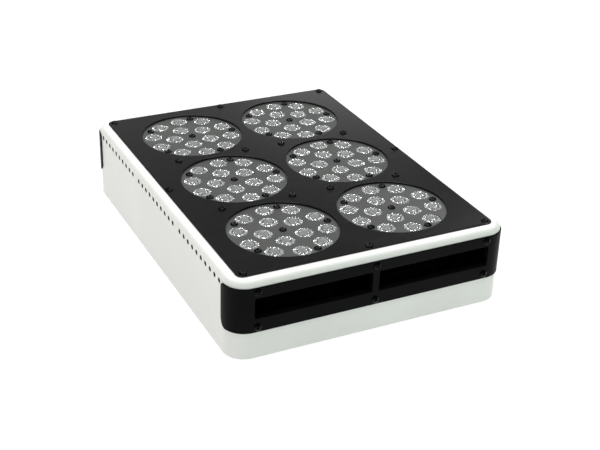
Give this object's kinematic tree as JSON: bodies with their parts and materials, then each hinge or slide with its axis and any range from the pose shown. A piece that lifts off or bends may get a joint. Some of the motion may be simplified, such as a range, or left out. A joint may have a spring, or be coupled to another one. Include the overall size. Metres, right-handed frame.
{
  "type": "led grow light",
  "caption": "Flat white box with a black face plate, round windows full of lens clusters, fans inside and air outlets in black end covers.",
  "frame": {"origin": "middle of the footprint, on the surface that the light lies on, light side up", "axes": "+Z out of the light side, +Y towards the end with the mains inlet, +X to the right when looking along +Y"},
  "size_m": [0.214, 0.2904, 0.0616],
  "materials": {
    "white_enamel": "white stove enamel, semi-gloss",
    "black_enamel": "black enamel, satin",
    "black_plastic": "moulded, satin",
    "black_screws": "black oxide steel",
    "zinc_screws": "zinc plated steel",
    "zinc_sheet": "zinc plated steel",
    "black_sheet": "black enamel, satin",
    "module_grey": "grey, satin",
    "clear_lens": "clear, polished",
    "board": "white solder mask on an aluminium core",
    "emitter": "white package with a clear dome",
    "heatsink_aluminium": "extruded, black anodised",
    "fan_plastic": "moulded black",
    "bronze": "sintered bronze",
    "stator_steel": "stacked sheet",
    "driver_case": "bare sheet",
    "inlet_plastic": "moulded black",
    "nickel_pins": "nickel plated",
    "wire_jacket": "black jacket"
  },
  "bodies": {
    "case": {"shell": "white_enamel", "back_cover": "white_enamel", "faceplate": "black_enamel", "front_bezel": "black_plastic", "rear_bezel": "black_plastic", "tray": "black_sheet", "standoffs": "zinc_sheet", "rim_nuts": "zinc_sheet", "hanging_nuts": "zinc_sheet", "tray_screws": "zinc_screws", "fan_screws": "zinc_screws", "faceplate_screws": "black_screws", "bezel_screws": "black_screws", "module_screws": "black_screws", "back_cover_screws": "zinc_screws", "led_emitters": "emitter", "fan_bearings": "bronze", "fan_stators": "stator_steel", "driver_left": "driver_case", "driver_right": "driver_case", "mains_inlet": "inlet_plastic", "inlet_pins": "nickel_pins", "mains_wiring": "wire_jacket", "module_wiring": "wire_jacket", "module_cover_1": "module_grey", "lenses_1": "clear_lens", "led_board_1": "board", "heatsink_1": "heatsink_aluminium", "fan_frame_1": "fan_plastic", "module_cover_2": "module_grey", "lenses_2": "clear_lens", "led_board_2": "board", "heatsink_2": "heatsink_aluminium", "fan_frame_2": "fan_plastic", "module_cover_3": "module_grey", "lenses_3": "clear_lens", "led_board_3": "board", "heatsink_3": "heatsink_aluminium", "fan_frame_3": "fan_plastic", "module_cover_4": "module_grey", "lenses_4": "clear_lens", "led_board_4": "board", "heatsink_4": "heatsink_aluminium", "fan_frame_4": "fan_plastic", "module_cover_5": "module_grey", "lenses_5": "clear_lens", "led_board_5": "board", "heatsink_5": "heatsink_aluminium", "fan_frame_5": "fan_plastic", "module_cover_6": "module_grey", "lenses_6": "clear_lens", "led_board_6": "board", "heatsink_6": "heatsink_aluminium", "fan_frame_6": "fan_plastic"},
    "rotor_1": {"fan_rotor_1": "fan_plastic"},
    "rotor_2": {"fan_rotor_2": "fan_plastic"},
    "rotor_3": {"fan_rotor_3": "fan_plastic"},
    "rotor_4": {"fan_rotor_4": "fan_plastic"},
    "rotor_5": {"fan_rotor_5": "fan_plastic"},
    "rotor_6": {"fan_rotor_6": "fan_plastic"}
  },
  "joints": [
    {"name": "fan_spin_1", "type": "hinge", "parent": "case", "child": "rotor_1", "pos_m": [-0.04325, -0.0855, 0.015], "axis": [0, 0, 1], "continuous": true},
    {"name": "fan_spin_2", "type": "hinge", "parent": "case", "child": "rotor_2", "pos_m": [0.04325, -0.0855, 0.015], "axis": [0, 0, 1], "continuous": true},
    {"name": "fan_spin_3", "type": "hinge", "parent": "case", "child": "rotor_3", "pos_m": [-0.04325, 0, 0.015], "axis": [0, 0, 1], "continuous": true},
    {"name": "fan_spin_4", "type": "hinge", "parent": "case", "child": "rotor_4", "pos_m": [0.04325, 0, 0.015], "axis": [0, 0, 1], "continuous": true},
    {"name": "fan_spin_5", "type": "hinge", "parent": "case", "child": "rotor_5", "pos_m": [-0.04325, 0.0855, 0.015], "axis": [0, 0, 1], "continuous": true},
    {"name": "fan_spin_6", "type": "hinge", "parent": "case", "child": "rotor_6", "pos_m": [0.04325, 0.0855, 0.015], "axis": [0, 0, 1], "continuous": true}
  ]
}
